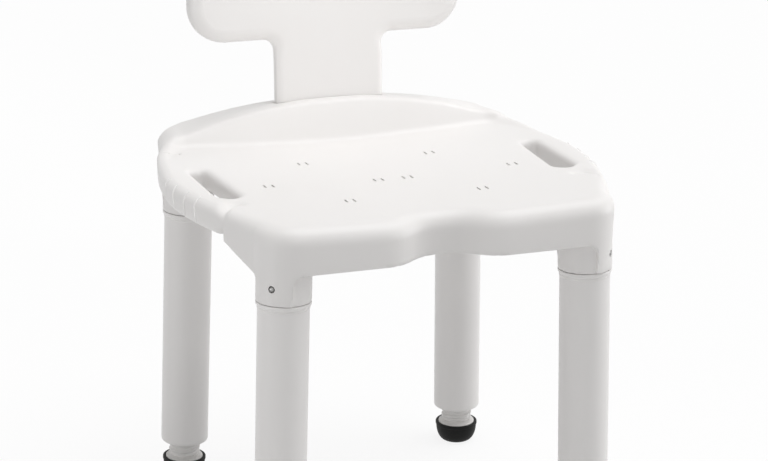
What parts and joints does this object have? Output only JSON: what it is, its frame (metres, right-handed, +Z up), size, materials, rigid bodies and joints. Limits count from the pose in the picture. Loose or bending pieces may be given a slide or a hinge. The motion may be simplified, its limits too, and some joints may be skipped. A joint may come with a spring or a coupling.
{
  "type": "shower chair",
  "caption": "White moulded shower chair with hand-hold slots, raised rear rim, lift-out T-shaped backrest and thick splayed legs on screw-adjustable rubber feet.",
  "frame": {"origin": "on the floor, in the middle of the chair seen from above", "axes": "+Z up, the sitter faces -Y, +X is the sitter's left"},
  "size_m": [0.442, 0.3763, 0.635],
  "materials": {
    "seat_plastic": "white satin moulded polypropylene",
    "tube_plastic": "white satin moulded polypropylene",
    "stem_plastic": "off-white moulded nylon",
    "foot_rubber": "black moulded rubber",
    "spring_steel": "stainless spring steel"
  },
  "bodies": {
    "root": {"seat_shell": "seat_plastic", "leg_tube_front_left": "tube_plastic", "thread_bush_front_left": "stem_plastic", "button_spring_front_left": "spring_steel", "leg_tube_front_right": "tube_plastic", "thread_bush_front_right": "stem_plastic", "button_spring_front_right": "spring_steel", "leg_tube_rear_left": "tube_plastic", "thread_bush_rear_left": "stem_plastic", "button_spring_rear_left": "spring_steel", "leg_tube_rear_right": "tube_plastic", "thread_bush_rear_right": "stem_plastic", "button_spring_rear_right": "spring_steel"},
    "backrest": {"backrest": "seat_plastic"},
    "foot_front_left": {"rubber_foot_front_left": "foot_rubber"},
    "stem_front_left": {"foot_stem_front_left": "stem_plastic"},
    "button_front_left": {"snap_button_front_left": "spring_steel"},
    "foot_front_right": {"rubber_foot_front_right": "foot_rubber"},
    "stem_front_right": {"foot_stem_front_right": "stem_plastic"},
    "button_front_right": {"snap_button_front_right": "spring_steel"},
    "foot_rear_left": {"rubber_foot_rear_left": "foot_rubber"},
    "stem_rear_left": {"foot_stem_rear_left": "stem_plastic"},
    "button_rear_left": {"snap_button_rear_left": "spring_steel"},
    "foot_rear_right": {"rubber_foot_rear_right": "foot_rubber"},
    "stem_rear_right": {"foot_stem_rear_right": "stem_plastic"},
    "button_rear_right": {"snap_button_rear_right": "spring_steel"}
  },
  "joints": [
    {"name": "backrest_lift", "type": "slide", "parent": "root", "child": "backrest", "axis": [0, 0.0698, 0.9976], "range_m": [0, 0.075]},
    {"name": "foot_height_front_left", "type": "slide", "parent": "root", "child": "foot_front_left", "axis": [0.0199, -0.0169, -0.9997], "range_m": [-0.015, 0.1]},
    {"name": "stem_turn_front_left", "type": "hinge", "parent": "foot_front_left", "child": "stem_front_left", "pos_m": [0.16267, -0.16238, 0], "axis": [0.0199, -0.0169, -0.9997], "range_deg": [-855, 5675]},
    {"name": "button_press_front_left", "type": "slide", "parent": "root", "child": "button_front_left", "axis": [-0.7068, 0.7069, -0.026], "range_m": [0, 0.0052], "stiffness_N_per_m": 2500, "deforming": ["button_spring_front_left"]},
    {"name": "foot_height_front_right", "type": "slide", "parent": "root", "child": "foot_front_right", "axis": [-0.0199, -0.0169, -0.9997], "range_m": [-0.015, 0.1]},
    {"name": "stem_turn_front_right", "type": "hinge", "parent": "foot_front_right", "child": "stem_front_right", "pos_m": [-0.16267, -0.16238, 0], "axis": [-0.0199, -0.0169, -0.9997], "range_deg": [-855, 5675]},
    {"name": "button_press_front_right", "type": "slide", "parent": "root", "child": "button_front_right", "axis": [0.7068, 0.7069, -0.026], "range_m": [0, 0.0052], "stiffness_N_per_m": 2500, "deforming": ["button_spring_front_right"]},
    {"name": "foot_height_rear_left", "type": "slide", "parent": "root", "child": "foot_rear_left", "axis": [0.0199, 0.0169, -0.9997], "range_m": [-0.015, 0.1]},
    {"name": "stem_turn_rear_left", "type": "hinge", "parent": "foot_rear_left", "child": "stem_rear_left", "pos_m": [0.15947, 0.16238, 0], "axis": [0.0199, 0.0169, -0.9997], "range_deg": [-855, 5675]},
    {"name": "button_press_rear_left", "type": "slide", "parent": "root", "child": "button_rear_left", "axis": [-0.7068, -0.7069, -0.026], "range_m": [0, 0.0052], "stiffness_N_per_m": 2500, "deforming": ["button_spring_rear_left"]},
    {"name": "foot_height_rear_right", "type": "slide", "parent": "root", "child": "foot_rear_right", "axis": [-0.0199, 0.0169, -0.9997], "range_m": [-0.015, 0.1]},
    {"name": "stem_turn_rear_right", "type": "hinge", "parent": "foot_rear_right", "child": "stem_rear_right", "pos_m": [-0.15947, 0.16238, 0], "axis": [-0.0199, 0.0169, -0.9997], "range_deg": [-855, 5675]},
    {"name": "button_press_rear_right", "type": "slide", "parent": "root", "child": "button_rear_right", "axis": [0.7068, -0.7069, -0.026], "range_m": [0, 0.0052], "stiffness_N_per_m": 2500, "deforming": ["button_spring_rear_right"]}
  ],
  "couplings": [
    {"joint": "stem_turn_front_left", "follows": "foot_height_front_left", "rad_per_m": 989.48},
    {"joint": "stem_turn_front_right", "follows": "foot_height_front_right", "rad_per_m": 989.48},
    {"joint": "stem_turn_rear_left", "follows": "foot_height_rear_left", "rad_per_m": 989.48},
    {"joint": "stem_turn_rear_right", "follows": "foot_height_rear_right", "rad_per_m": 989.48}
  ]
}
